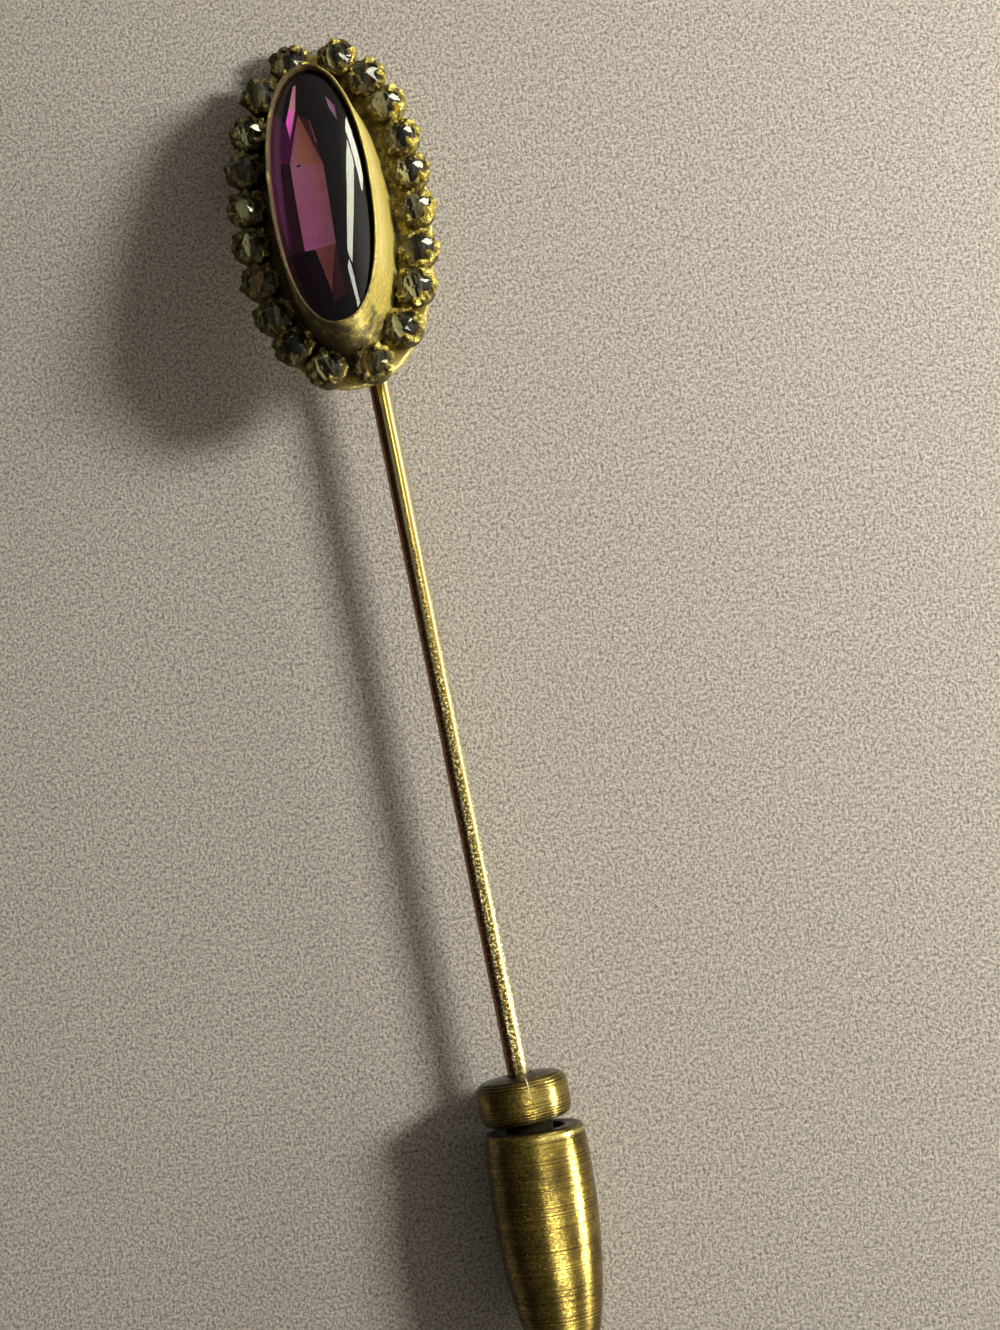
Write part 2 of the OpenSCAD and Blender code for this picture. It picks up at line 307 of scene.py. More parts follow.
class Shader:
    """Short calls for the nodes of a new material, or of the room's light, and their links."""

    def __init__(self, name, kind="materials"):
        self.owner = getattr(bpy.data, kind).new(name)
        self.owner.use_nodes = True
        self.tree = self.owner.node_tree
        self.surface = self.tree.nodes.get("Principled BSDF")

    def put(self, socket, value):
        """Links a socket into an input, or sets the input to a plain value."""
        if isinstance(value, bpy.types.NodeSocket):
            self.tree.links.new(value, socket)
        else:
            socket.default_value = value

    def node(self, kind, out=0, inputs=None, **settings):
        """A node of that kind, its settings and its inputs, and the output that is asked for."""
        made = self.tree.nodes.new("ShaderNode" + kind)
        for key, value in settings.items():
            setattr(made, key, value)
        for key, value in (inputs or {}).items():
            self.put(made.inputs[key], value)
        return made.outputs[out]

    def set(self, **values):
        """Values or links on the Principled surface, by input name with _ for a space."""
        for key, value in values.items():
            self.put(self.surface.inputs[key.replace("_", " ")], value)

    def place(self, scale=(1, 1, 1), uv=False):
        """Object coordinates in millimetres, or the piece's UV run, stretched by scale."""
        source = self.node("TexCoord", "UV" if uv else "Object")
        unit = 1 if uv else 1 / MM
        return self.node("Mapping", inputs={"Vector": source, "Scale": tuple(unit * s for s in scale)})

    def noise(self, vector, scale, detail=4, rough=0.55):
        """Fractal noise from 0 to 1."""
        return self.node("TexNoise", inputs={
            "Vector": vector, "Scale": scale, "Detail": detail, "Roughness": rough})

    def streaks(self, around, along, detail, rough):
        """Noise on the piece's UV run: so many marks round it, and so many a millimetre, or a row
        where no length is given, along it."""
        return self.noise(self.place((around, along, 1), uv=True), 1.0, detail, rough)

    def wear_and_shade(self):
        """The piece's own wear, from 0 in hollows to 1 on heights, with the painted light and shade that
        some pieces hold in it.
        """
        return self.node("Attribute", "Fac", attribute_name="wear_and_shade")

    def axis(self, letter, vector):
        """One coordinate of a vector."""
        return self.node("SeparateXYZ", letter, {"Vector": vector})

    def ramp(self, value, *stops):
        """A colour or grey that follows stops of (place, colour)."""
        made = self.tree.nodes.new("ShaderNodeValToRGB")
        band = made.color_ramp
        for place, colour in stops[2:]:
            band.elements.new(place)
        for spot, (place, colour) in zip(band.elements, sorted(stops, key=lambda s: s[0])):
            spot.position = place
            spot.color = (*([colour] * 3 if isinstance(colour, (int, float)) else colour), 1)
        self.put(made.inputs[0], value)
        return made.outputs[0]

    def math(self, operation, *values):
        """A number from one, two or three others."""
        return self.node("Math", operation=operation, inputs=dict(enumerate(values)))

    def times(self, a, b):
        """The product of two numbers."""
        return self.math("MULTIPLY", a, b)

    def plus(self, a, b, share=1.0):
        """Number a and a share of number b."""
        return self.math("ADD", a, b if share == 1.0 else self.times(b, share))

    def mix(self, amount, a, b, blend="MIX"):
        """Colour a turned into colour b by the amount."""
        made = self.tree.nodes.new("ShaderNodeMix")
        made.data_type, made.blend_type = "RGBA", blend
        for key, value in ((0, amount), (6, a), (7, b)):
            plain = isinstance(value, (int, float, bpy.types.NodeSocket))
            self.put(made.inputs[key], value if plain else (*value, 1))
        return made.outputs[2]

    def bump(self, height, depth, strength, under=None):
        """A bump of that depth in millimetres, over another one if there is one."""
        inputs = {"Height": height, "Distance": depth * MM, "Strength": strength}
        if under is not None:
            inputs["Normal"] = under
        return self.node("Bump", inputs=inputs)


def lined(s, amount):
    """Fine lines along the first way of the piece's run, which spread a gleam across themselves."""
    s.set(Anisotropic=amount, Anisotropic_Rotation=0.25)
    s.set(Tangent=s.node("Tangent", direction_type="UV_MAP", uv_map="run"))


def gilt(name, props, brush, tarnish, metal=0.75, drawn=0.0, rough=0.0):
    """Worn gilt: brass-gold, fine brushed lines along the piece's run, dark green-grey tarnish in
    its hollows, in blotches, and brighter metal on its worn heights. More tarnish lies towards the
    left as painted shade, and on some pieces the wear holds painted light and shade. brush
    stretches the lines, tarnish spreads the stain, metal is the sound gilt's share of metal, drawn
    is how far the lines spread a gleam, and rough is added to the roughness."""
    s = Shader(name)
    place = s.place()
    wear_and_shade = s.wear_and_shade()
    blotch = s.noise(place, 1.3, 6, 0.62)
    specks = s.noise(place, 9, 5, 0.6)
    grain = s.streaks(*brush, 5, 0.6)
    # More tarnish towards the left, painted shade for the side away from the light, and less on the worn
    # heights
    left_shade_and_wear = s.plus(s.times(s.axis("X", place), -0.045), wear_and_shade, -0.9)
    dirt = s.plus(s.plus(blotch, specks, 0.35), left_shade_and_wear)
    dirty = s.ramp(dirt, (0.30 - tarnish, 0.0), (0.52 - tarnish, 1.0))
    body = s.ramp(grain, (0.34, tuple(c * 0.42 for c in props.gold)), (0.58, props.gold))
    warm = s.mix(s.ramp(specks, (0.35, 0.0), (0.75, 1.0)), body, props.gold_deep)
    bright = s.mix(s.ramp(wear_and_shade, (0.55, 0.0), (0.95, 0.8)), warm, props.gold_bright)
    stain = s.ramp(specks, (0.35, (0.03, 0.023, 0.009)), (0.62, (0.13, 0.095, 0.03)))
    stain = s.mix(s.ramp(blotch, (0.6, 0.0), (0.72, 0.8)), stain, (0.045, 0.075, 0.045))
    s.set(Base_Color=s.mix(dirty, bright, stain), Metallic=metal)
    s.set(Roughness=s.plus(s.ramp(grain, (0.3, 0.32 + rough), (0.7, 0.22 + rough)), dirty, 0.26))
    if drawn:
        lined(s, drawn)
    fine = s.bump(grain, 0.016, 0.9)
    s.set(Normal=s.bump(s.plus(blotch, specks, 0.5), 0.03, 0.7, fine))
    return s.owner


COPPER = (0.3, 0.13, 0.075)


def stem_gold(props):
    """Drawn gold wire. Round it lie a painted highlight on its right edge, a deep gold band with a
    painted bright line along it, a painted dark line, copper, and a dark side of painted shade. It
    is smooth near the head, and short marks cover the rest."""
    s = Shader("drawn gilt wire")
    place = s.place(uv=True)
    around = s.axis("X", place)
    lower = s.ramp(s.math("DIVIDE", s.axis("Y", place), REACH), (0.24, 0.0), (0.55, 1.0))
    lines = s.streaks(30, 0.35, 4, 0.6)
    nicks = s.streaks(22, 8, 3, 0.65)
    blotch = s.streaks(3, 0.5, 5, 0.6)
    wander = s.plus(around, s.math("SUBTRACT", lines, 0.5), 0.03)
    deep = props.gold_deep
    # Painted light and shade, fixed round the wire: a pale painted highlight on the right, a painted bright
    # line near the top, a painted dark line, copper, and painted shade on the dark left side
    gold = s.ramp(
        wander, (0.0, (0.8, 0.62, 0.46)), (0.045, (0.97, 0.89, 0.6)), (0.14, (0.97, 0.9, 0.58)),
        (0.165, deep), (0.235, (0.4, 0.3, 0.08)), (0.252, (0.97, 0.9, 0.55)),
        (0.268, (0.95, 0.84, 0.42)), (0.285, (0.09, 0.05, 0.02)), (0.325, COPPER), (0.4, COPPER),
        (0.43, (0.06, 0.022, 0.018)), (0.5, (0.1, 0.04, 0.025)), (0.6, COPPER),
        (0.75, props.gold))
    colour = s.mix(s.ramp(lines, (0.35, 0.25), (0.5, 0.0)), gold, deep)
    middle = s.ramp(around, (0.15, 0.0), (0.19, 1.0), (0.27, 1.0), (0.3, 0.0))
    marks = s.times(s.ramp(nicks, (0.53, 0.0), (0.6, 0.7)), lower)
    pits = s.times(s.ramp(nicks, (0.38, 0.7), (0.46, 0.0)), s.times(lower, middle))
    colour = s.mix(s.times(marks, middle), colour, (0.95, 0.8, 0.38))
    colour = s.mix(pits, colour, (0.14, 0.08, 0.03))
    colour = s.mix(s.ramp(blotch, (0.5, 0.0), (0.8, 0.3)), colour, deep)
    s.set(Base_Color=colour, Metallic=1.0, Roughness=s.plus(0.2, marks, 0.25))
    height = s.math("SUBTRACT", s.times(lines, 0.4), s.times(marks, 0.9))
    s.set(Normal=s.bump(height, 0.008, 0.8))
    return s.owner


def antique_brass(name, props, scratch=False):
    """Turned brass with an olive-brown patina: fine lathe lines right round it, a few deeper ones,
    brown stain in blotches, worn yellow on the heights, and one thin scratch where asked."""
    s = Shader(name)
    fine = s.streaks(0.9, 18, 4, 0.75)
    cuts = s.streaks(0.35, 13, 1, 0.4)
    broad = s.noise(s.place(), 0.8, 6, 0.62)
    mottle = s.noise(s.place(), 7, 5, 0.75)
    wear_and_shade = s.wear_and_shade()
    lines = s.plus(s.times(fine, 0.45), mottle, 0.55)
    brass = s.ramp(lines, (0.43, props.patina), (0.57, props.brass))
    brown = s.mix(s.ramp(broad, (0.42, 0.0), (0.66, 0.85)), brass, props.patina)
    # Near black where the wear is lowest: thick patina in the hollows, with painted shadow in the barrel's
    # bore and mouth and painted shade on the left side
    dark = s.math("SUBTRACT", 1.0, s.times(wear_and_shade, 2.0))
    colour = s.mix(s.ramp(dark, (0.2, 0.0), (0.9, 0.92)), brown, (0.012, 0.011, 0.009))
    colour = s.mix(s.ramp(wear_and_shade, (0.7, 0.0), (1.0, 0.7)), colour, props.brass_bright)
    line = s.ramp(cuts, (0.37, 1.0), (0.4, 0.0))
    colour = s.mix(s.times(line, 0.85), colour, (0.03, 0.02, 0.01))
    height = s.math("SUBTRACT", lines, s.times(line, 0.6))
    if scratch:
        run = s.place(uv=True)
        wander = s.times(s.streaks(0, 2.5, 2, 0.5), 0.012)
        off = s.math("SUBTRACT", s.axis("X", run), s.plus(wander, props.scratch_turn))
        thin = s.ramp(s.math("ABSOLUTE", off), (0.0, 1.0), (0.0025, 0.0))
        mark = s.times(thin, s.ramp(s.axis("Y", run), (0.85, 1.0), (0.95, 0.0)))
        colour = s.mix(s.times(mark, 0.8), colour, (0.85, 0.8, 0.55))
        height = s.math("SUBTRACT", height, mark)
    s.set(Base_Color=colour, Metallic=s.ramp(dark, (0.4, 0.88), (0.95, 0.5)))
    s.set(Roughness=s.ramp(mottle, (0.38, 0.42), (0.62, 0.18)), Specular_IOR_Level=0.1)
    lined(s, 0.75)
    s.set(Normal=s.bump(height, 0.012, 0.9))
    return s.owner


def clear_glass(name, colour, ior):
    """Polished glass with the faintest wear on its polish. Light on its way to the foil under it
    passes straight on, tinted, so that the foil is lit."""
    s = Shader(name)
    marks = s.noise(s.place(), 2.6, 4, 0.5)
    s.set(Base_Color=(*colour, 1), Transmission_Weight=1.0, IOR=ior)
    s.set(Roughness=s.ramp(marks, (0.4, 0.0), (0.8, 0.03)))
    through = s.node("BsdfTransparent", inputs={"Color": (*colour, 1)})
    shadow = s.node("LightPath", "Is Shadow Ray")
    lit = s.node("MixShader", inputs={0: shadow, 1: s.surface.outputs[0], 2: through})
    s.put(s.tree.nodes["Material Output"].inputs["Surface"], lit)
    return s.owner


def foil(name, gloss, speck=None):
    """The underside of a backed stone: each facet has its own tone of foil, which shows through
    the stone, with fine scratches, a little cloud from age and, where asked, one dark speck. On
    the centre stone the tones are painted light and shade."""
    s = Shader(name)
    place = s.place()
    tone = s.node("Attribute", "Color", attribute_name="tone")
    cloud = s.noise(place, 1.6, 4, 0.6)
    scratch = s.noise(s.place((14, 2.2, 5)), 1.0, 3, 0.7)
    shade = s.times(s.ramp(cloud, (0.3, 0.84), (0.7, 1.0)), s.ramp(scratch, (0.36, 0.8), (0.44, 1.0)))
    colour = s.mix(1.0, tone, shade, "MULTIPLY")
    if speck is not None:
        far = s.node("VectorMath", "Value", {0: place, 1: speck}, operation="DISTANCE")
        near = s.plus(far, s.noise(place, 9), 0.1)
        colour = s.mix(s.ramp(near, (0.1, 1.0), (0.13, 0.0)), colour, (0.004, 0.003, 0.004))
    s.set(Base_Color=colour, Metallic=gloss)
    s.set(Roughness=s.ramp(cloud, (0.3, 0.4), (0.7, 0.5)), Specular_IOR_Level=0.0)
    return s.owner


def paper(props):
    """Pale warm-grey felted paper: soft short fibres and a fine pebbled surface."""
    s = Shader("pale paper")
    pebble = s.noise(s.place(), 7.5, 4, 0.8)
    fibre = s.noise(s.place((2.4, 1, 1)), 4.0, 5, 0.8)
    grain = s.plus(s.times(pebble, 0.65), fibre, 0.35)
    tone = s.ramp(grain, (0.43, tuple(c * 0.34 for c in props.paper)), (0.55, props.paper))
    s.set(Base_Color=tone, Roughness=0.9, Specular_IOR_Level=0.0)
    s.set(Normal=s.bump(s.plus(pebble, fibre, 0.6), 0.17, 1.0))
    return s.owner


# Sizes and colours that a user would change

def colour_prop(name, text, value):
    return bpy.props.FloatVectorProperty(
        name=name, description=text, default=value, subtype="COLOR", min=0.0, max=1.0)


def length_prop(name, text, value):
    return bpy.props.FloatProperty(
        name=name, description=text, default=value * MM, unit="LENGTH", precision=5, min=0.0)


class PinSizes(bpy.types.PropertyGroup):
    """Sizes of the visible detail, inside what the CAD fixes."""
    dome: length_prop("Dome", "Height of the centre stone's dome over its girdle", 0.95)
    scallop: length_prop("Scallop", "Depth of the dips between the lobes of a halo seat", 0.16)
    claw: length_prop("Claw", "Radius of a claw at its thickest", 0.14)
    groove: length_prop("Groove", "Depth of the turned lines on the collar", 0.045)


class PinColours(bpy.types.PropertyGroup):
    """Colours of the finishes."""
    gold: colour_prop("Gold", "The gilt where it is sound", (0.8, 0.67, 0.165))
    gold_deep: colour_prop("Deep gold", "The gilt where it has gone brown", (0.36, 0.26, 0.055))
    gold_bright: colour_prop("Bright gold", "Gilt that wear has polished", (0.93, 0.8, 0.35))
    brass: colour_prop("Brass", "The clutch where the patina is thin", (0.4, 0.295, 0.06))
    patina: colour_prop("Patina", "The clutch where the patina is thick", (0.085, 0.058, 0.018))
    brass_bright: colour_prop("Worn brass", "Brass that wear has polished", (0.85, 0.72, 0.25))
    violet: colour_prop("Violet", "The centre stone's glass", (0.8, 0.6, 0.82))
    smoke: colour_prop("Smoke", "The halo stones' glass", (0.84, 0.8, 0.62))
    paper: colour_prop("Paper", "The surface that the pin lies on", (0.8, 0.735, 0.64))
    scratch_turn: bpy.props.FloatProperty(
        name="Scratch", description="Where the scratch on the collar lies, as a share of a turn",
        default=0.2, min=0.0, max=1.0, subtype="FACTOR")


# The pieces

class PIN_OT_plate(bpy.types.Operator):
    """Lay the base plate under the whole head"""
    bl_idname = "stick_pin.plate"
    bl_label = "Base plate"

    def execute(self, context):
        """Both edges are quarter circles, and the rim is pressed in here and there."""
        a, b = HALO_W + PLATE_MARGIN, HALO_L + PLATE_MARGIN
        soft, cols = 0.09, 320
        bend, inset = quarter(5)
        side = [*zip(-soft * inset, soft * bend), *zip(-soft * bend, PLATE - soft * inset)]
        profile = [(-a, 0), (-2.5, 0), (-0.8, 0), *side, (-0.5, PLATE), (-1.4, PLATE), (-a, PLATE)]
        grid = oval_sweep(profile, a, b, 0, cols)
        t = even_turns(a, b, cols)
        near_rim = np.clip(1 + np.array(profile)[:, :1], 0, 1)
        grid[..., 0] -= np.cos(t) * near_rim * np.abs(ripple(t, [5, 9, 14, 23], 0.03))
        wear_and_shade = np.array([0.3, 0.3, 0.4, *[0.85] * 5, *[0.8] * 5, 0.3, 0.1, 0.1])[:, None]
        skin("base_plate", [{"grid": head_to_row(grid), "wear_and_shade": wear_and_shade}],
             gilt("plate gilt", context.scene.pin_colours, (40, 3), 0.0),
             "pin", ["setting_with_stem"])
        return {"FINISHED"}


class PIN_OT_bezel(bpy.types.Operator):
    """Raise the bezel: a flaring wall, a rolled rim and the ledge that the stone rests on"""
    bl_idname = "stick_pin.bezel"
    bl_label = "Bezel"

    def execute(self, context):
        """Up the wall its flare dies away, by the power of 1.25 of the share that is left. Ripples
        dent it and lower its rim. Its wear falls off towards the left and the two ends, and its
        brightness with it: painted shade on the sides that face away from the light."""
        cols, foot, roll_h, roll_w = 400, 0.3, 0.1, BEZEL_WALL / 2
        up = np.linspace(0, 1, 12)
        top = BEZEL_H - roll_h
        wall = [(BEZEL_FLARE * (1 - u) ** 1.25, foot + (top - foot) * u) for u in up]
        roll = [(-roll_w + roll_w * math.cos(c), top + roll_h * math.sin(c))
                for c in np.linspace(0.3, math.pi - 0.3, 7)]
        inner = [(-BEZEL_WALL, top), (-BEZEL_WALL, LEDGE_Z), (-BEZEL_WALL - LEDGE, LEDGE_Z),
                 (-BEZEL_WALL - LEDGE, foot)]
        profile = np.array(wall + roll + inner)
        grid = oval_sweep(profile, BEZEL_W, BEZEL_L, BEZEL_SHIFT, cols)
        t = circle(cols)

        def down_profile(on_wall, on_roll, on_inner):
            """A value for each point of the profile."""
            return np.concatenate([on_wall, np.full(len(roll), on_roll), on_inner])[:, None]

        dent = down_profile(np.ones(len(wall)), 0.5, np.zeros(4)) * ripple(t, [3, 7, 12, 19, 31], 0.03)
        grid[..., 0] += dent * np.cos(t)
        grid[..., 1] += dent * np.sin(t)
        lowered = down_profile(np.linspace(0, 1, len(wall)) ** 3, 1.0, np.zeros(4))
        grid[..., 2] += lowered * np.minimum(ripple(t, [4, 9, 17, 28], 0.03), 0)
        wear_and_shade = down_profile(np.interp(up, [0, 0.25, 0.85, 1], [0.04, 0.4, 0.72, 0.6]), 0.4,
                            [0.12, 0.1, 0.1, 0.1])
        # Painted light and shade: the wear is highest on the right wall, which faces the light, and falls
        # off to the left and the two ends
        turn = even_turns(BEZEL_W, BEZEL_L, cols)
        wear_and_shade = wear_and_shade * np.interp(np.cos(turn), [-0.2, 0.3], [0.6, 1.1]) \
            * np.interp(np.sin(turn), [-0.95, -0.5, 0.7, 0.97], [0.4, 1, 1, 0.5])
        skin("bezel", [{"grid": head_to_row(grid), "wear_and_shade": wear_and_shade, "loop": True,
                        "length": run_along(profile)}],
             gilt("bezel gilt", context.scene.pin_colours, (26, 14), 0.0,
                  metal=0.35, drawn=0.8, rough=0.08),
             "pin", ["setting_with_stem"])
        return {"FINISHED"}


class PIN_OT_seats(bpy.types.Operator):
    """Set the twenty halo seats: lumpy scalloped cups, each with claws curled over its stone"""
    bl_idname = "stick_pin.seats"
    bl_label = "Halo seats"

    def execute(self, context):
        """Round the rim, lobes and claws rise as bell curves. At each turn the cup's outline is a
        smooth curve through points that they set, and lumps push its upper part about."""
        sizes = context.scene.pin_sizes
        scallop, claw = sizes.scallop / MM, sizes.claw / MM
        middles, turns = seat_frames()
        cols, rows = 96, 40
        t = circle(cols)
        row, flat = np.arange(rows)[:, None], np.ones(cols)
        bore = [(0.68, 0.78), (0.67, 0.47), (0, 0.45)]
        parts = []
        for middle, turn in zip(middles, turns):
            at = np.radians(LOBE_TURNS) + rng.normal(0, 0.11, LOBES)
            heavy = np.array(LOBE_SIZES) * rng.uniform(0.7, 1.15, LOBES)
            bell = np.exp(-(np.angle(np.exp(1j * (t - at[:, None]))) / 0.3) ** 2) * heavy[:, None]
            lobe, curl = np.minimum(bell.max(0), 1.15), np.minimum(bell[:CLAWS].max(0), 1.15)
            dip = scallop * (1 - lobe)
            lip = 0.64 - claw * 1.35 * curl
            # The cup's outline from its foot up over the lip and into the bore, as (radius, height)
            line = [(0.7 * flat, 0.3 * flat), (0.75 * flat, 0.42 * flat),
                    (0.79 + 0.02 * lobe, 0.68 * flat), (0.82 + 0.06 * lobe, 0.92 - 0.7 * dip),
                    (0.84 + 0.08 * lobe, 1.07 - dip), (0.79 + 0.04 * lobe, 1.16 + 0.07 * curl - dip),
                    (0.5 * (0.76 + lip), 1.17 + 0.15 * curl - 0.7 * dip),
                    (lip, 1.13 + 0.19 * curl - 0.4 * dip),
                    (lip - 0.015, 1.07 + 0.17 * curl - 0.3 * dip),
                    (lip + 0.05, 1.03 + 0.1 * curl), (0.69 * flat, 0.95 * flat)]
            r, z = rounded(np.array(line).transpose(0, 2, 1), rows).transpose(2, 0, 1)
            cup = np.stack([r * np.cos(t), r * np.sin(t), z], -1)
            high = np.clip((z - 0.45) / 0.55, 0, 1)
            rough = high * np.clip((row - 2) / 6, 0, 1) * np.clip((rows - 3 - row) / 5, 0, 1)
            swell = 0.085 * lumps(cup, 0.5) + 0.065 * lumps(cup, 0.22)
            cup[..., :2] *= 1 + (rough * swell)[..., None]
            cup[..., 2] += rough * (0.055 * lumps(cup, 0.45) + 0.045 * lumps(cup, 0.2))
            cup = np.stack([ring_of(0, t, 0.3), *cup, *[ring_of(a, t, b) for a, b in bore]])
            wear_and_shade = 0.04 + high * (0.06 + 0.2 * lobe + 0.12 * curl)
            wear_and_shade = wear_and_shade + 0.3 * rough * np.clip(swell, -0.08, 0.1) / 0.1
            wear_and_shade = np.stack([0.05 * flat, *wear_and_shade, *[0.03 * flat] * len(bore)])
            cup = spun(cup, turn)
            # Painted light and shade: higher up, each cup is brighter towards the right, which faces the
            # light, and darker towards the left
            wear_and_shade = wear_and_shade + (0.24 * cup[..., 0] - 0.09) * np.clip(cup[..., 2], 0, 1)
            parts.append({"grid": head_to_row(cup + (*middle, 0)), "wear_and_shade": np.clip(wear_and_shade, 0, 1)})
        skin("halo_seats", parts, gilt("seat gilt", context.scene.pin_colours, (6, 2), 0.1),
             "pin", ["setting_with_stem"])
        return {"FINISHED"}


class PIN_OT_stem(bpy.types.Operator):
    """Draw the stem: round wire with a thicker root and a long taper to its point"""
    bl_idname = "stick_pin.stem"
    bl_label = "Stem"

    def execute(self, context):
        """The wire's radius goes by straight stretches between the places given, with the faintest
        unevenness."""
        start, root_end, taper, tip = -1.2, 5.2, REACH + 6.7, REACH + 9.7
        cols, blunt, sharp, sharp_r = 64, 0.06, 0.3, 0.12
        run = np.concatenate([[start], np.linspace(start, taper, 230),
                              np.linspace(taper, tip - blunt, 26)[1:], [tip]])
        radius = np.interp(run, [start, root_end, REACH, taper, tip - sharp, tip - blunt],
                           [ROOT_R, STEM_R, STEM_R, TAPER_R, sharp_r, blunt])
        radius[[0, -1]] = 0
        grid = turned(np.stack([radius, run], -1), cols)
        grid[..., :2] *= 1 + 0.012 * lumps(grid, 2.4)[..., None]
        skin("stem", [{"grid": stem_to_row(grid), "length": run, "wear_and_shade": 0.6}],
             stem_gold(context.scene.pin_colours), "pin", ["setting_with_stem"])
        return {"FINISHED"}


class PIN_OT_center_stone(bpy.types.Operator):
    """Cut the long centre stone: a smooth dome over a foiled, faceted underside"""
    bl_idname = "stick_pin.center_stone"
    bl_label = "Centre stone"

    def execute(self, context):
        """Across, the dome is a cap of a circle: at each share of the outline its height is the
        root of the radius squared less the half width's share squared, less the depth of the
        circle's middle under the girdle."""
        height = context.scene.pin_sizes.dome / MM
        cols, rows = 192, 40
        x, y = oval(STONE_W, STONE_L, even_turns(STONE_W, STONE_L, cols))
        share = np.linspace(0, 1, rows)[1:, None]
        radius = (STONE_W ** 2 + height ** 2) / (2 * height)
        rise = np.sqrt(radius ** 2 - (share * STONE_W) ** 2) - radius + height
        dome = np.stack([share * x, share * y, rise + 0 * x], -1)
        keel = np.array(KEEL) * (1, 1, -1)
        verts = np.concatenate([[(0, 0, height)], dome.reshape(-1, 3), dome[-1] - (0, 0, GIRDLE), keel])
        ring = 1 + np.arange(cols)
        ring_on = np.roll(ring, -1)
        glass = faces_of(0 * ring, ring, ring_on)
        for start in cols * np.arange(rows - 1):
            glass += faces_of(start + ring, start + ring + cols, start + ring_on + cols, start + ring_on)
        low = 1 + (rows - 1) * cols
        edge = np.stack([x, y], -1)
        corner = [int(np.hypot(*(edge - c).T).argmin()) for c in KEEL_CORNERS]
        under, tones = [], []
        for k, (inner, tone) in enumerate(KEEL_SKIRT):
            a, b = corner[k], corner[(k + 1) % len(corner)]
            arc = (a - np.arange((a - b) % cols + 1)) % cols
            under.append([*(low + arc).tolist(), *(low + cols + j for j in inner[::-1])])
            tones += [tone] * len(under[-1])
        for inner, *tone in KEEL_FACETS:
            under.append([low + cols + j for j in inner])
            tones += tone * (len(inner) // len(tone))
        materials = [clear_glass("violet glass", context.scene.pin_colours.violet, 1.5),
                     foil("violet foil", 0.0, head_to_row(np.array(SPECK)))]
        stone("oval_stone", verts + (0, -BEZEL_SHIFT, GIRDLE_Z), glass, under, tones, materials,
              "center_stone", True)
        return {"FINISHED"}


# Keel points of the centre stone's underside: x, y and depth under the girdle's upper edge
KEEL = (
    (-0.45, 4.23, 1.2), (-0.88, 1.97, 1.2), (-0.39, 1.71, 1.2), (0.09, 1.62, 1.2), (0.11, -2.15, 1.2),
    (-0.57, -2.22, 1.2), (-0.88, -2.19, 1.2), (-0.27, -4.3, 1.15), (0.19, -4.5, 1.1), (-0.24, -4.8, 1.05),
    (-0.48, 5.64, 0.8), (-0.38, 5.66, 0.8), (-0.51, 4.43, 1.05), (-0.72, 4.52, 1.0), (-0.78, 3.07, 1.05),
    (-0.85, 3.92, 0.95), (0.56, 4.8, 0.9), (0.84, 4.25, 0.85), (0.78, 3.59, 1.0), (0.59, 4.25, 1.0),
    (-0.13, 3.84, 1.2), (-0.02, 2.68, 1.2), (-0.09, 3.80, 1.2), (0.03, 2.64, 1.2),
    (1.02, 1.6, 1.0), (1.0, -2.0, 1.0), (0.6, -4.6, 0.9), (-1.25, 2.1, 0.95), (-1.3, -2.3, 0.95),
    (-0.75, -4.7, 0.85),
)
# Tones of the facets, with painted light and shade: near-black painted shade for the unlit ones, through
# the lit ones in plum, rust and mauve, to the pink ones at the far end and a painted glint
NIGHT, COAL, PLUM = (0.003, 0.001, 0.002), (0.008, 0.003, 0.004), (0.026, 0.004, 0.018)
DIM, RUST, EMBER = (0.045, 0.01, 0.016), (0.2, 0.09, 0.042), (0.14, 0.05, 0.035)
MAUVE, ORCHID, ROSE = (0.2, 0.1, 0.115), (0.21, 0.07, 0.13), (0.27, 0.11, 0.09)
# GLINT, near white, is a painted glint on one facet at the far end
PINK, MAGENTA, GLINT = (0.42, 0.26, 0.22), (0.75, 0.1, 0.55), (1.0, 0.8, 1.0)
# A dark speck in the mauve facet, in the head's frame
SPECK = (-0.64, 1.32, 1.7)
# Where the skirt's corners lie on the girdle, clockwise from the far end, as (x, y)
KEEL_CORNERS = ((-0.45, 6.1), (0.9, 5.4), (1.7, 3.3), (2.0, 0.6), (1.9, -2.2), (1.3, -4.7),
                (0.1, -6.1), (-1.1, -5.1), (-1.8, -2.6), (-2.0, 0.2), (-1.85, 2.4), (-1.4, 4.4))
# For each stretch between two corners, the keel points that it comes down to, and its tone
KEEL_SKIRT = (
    ((11, 16), COAL), ((16, 17, 18), NIGHT), ((18, 24), COAL), ((24, 25), NIGHT), ((25, 26), COAL),
    ((26, 8, 9), NIGHT), ((9, 29), NIGHT), ((29, 28), NIGHT), ((28,), COAL), ((28, 27), PLUM),
    ((27, 14, 15), PLUM), ((15, 13, 10, 11), NIGHT),
)
# Points of each inner facet, and one tone or a tone for each point
KEEL_FACETS = (
    ((10, 11, 12, 13), PINK), ((13, 12, 14, 15), MAGENTA, PINK, ORCHID, MAGENTA),
    ((12, 0, 1, 14), PLUM), ((0, 3, 2, 1), RUST, RUST, RUST, MAUVE),
    ((2, 5, 6, 1), MAUVE, ORCHID, ORCHID, MAUVE), ((3, 4, 5, 2), ROSE, MAUVE, ORCHID, MAUVE),
    ((5, 4, 7), EMBER), ((4, 8, 9, 7), DIM), ((6, 5, 7, 9, 29, 28), NIGHT), ((14, 1, 27), PLUM),
    ((1, 6, 28, 27), COAL), ((16, 17, 18, 19), GLINT, MAGENTA, GLINT, GLINT),
    ((11, 16, 19, 22, 20, 0, 12), COAL), ((0, 20, 21, 3), DIM), ((20, 22, 23, 21), RUST),
    ((22, 19, 18, 24, 3, 21, 23), NIGHT), ((3, 24, 25, 4), NIGHT), ((4, 25, 26, 8), COAL),
)


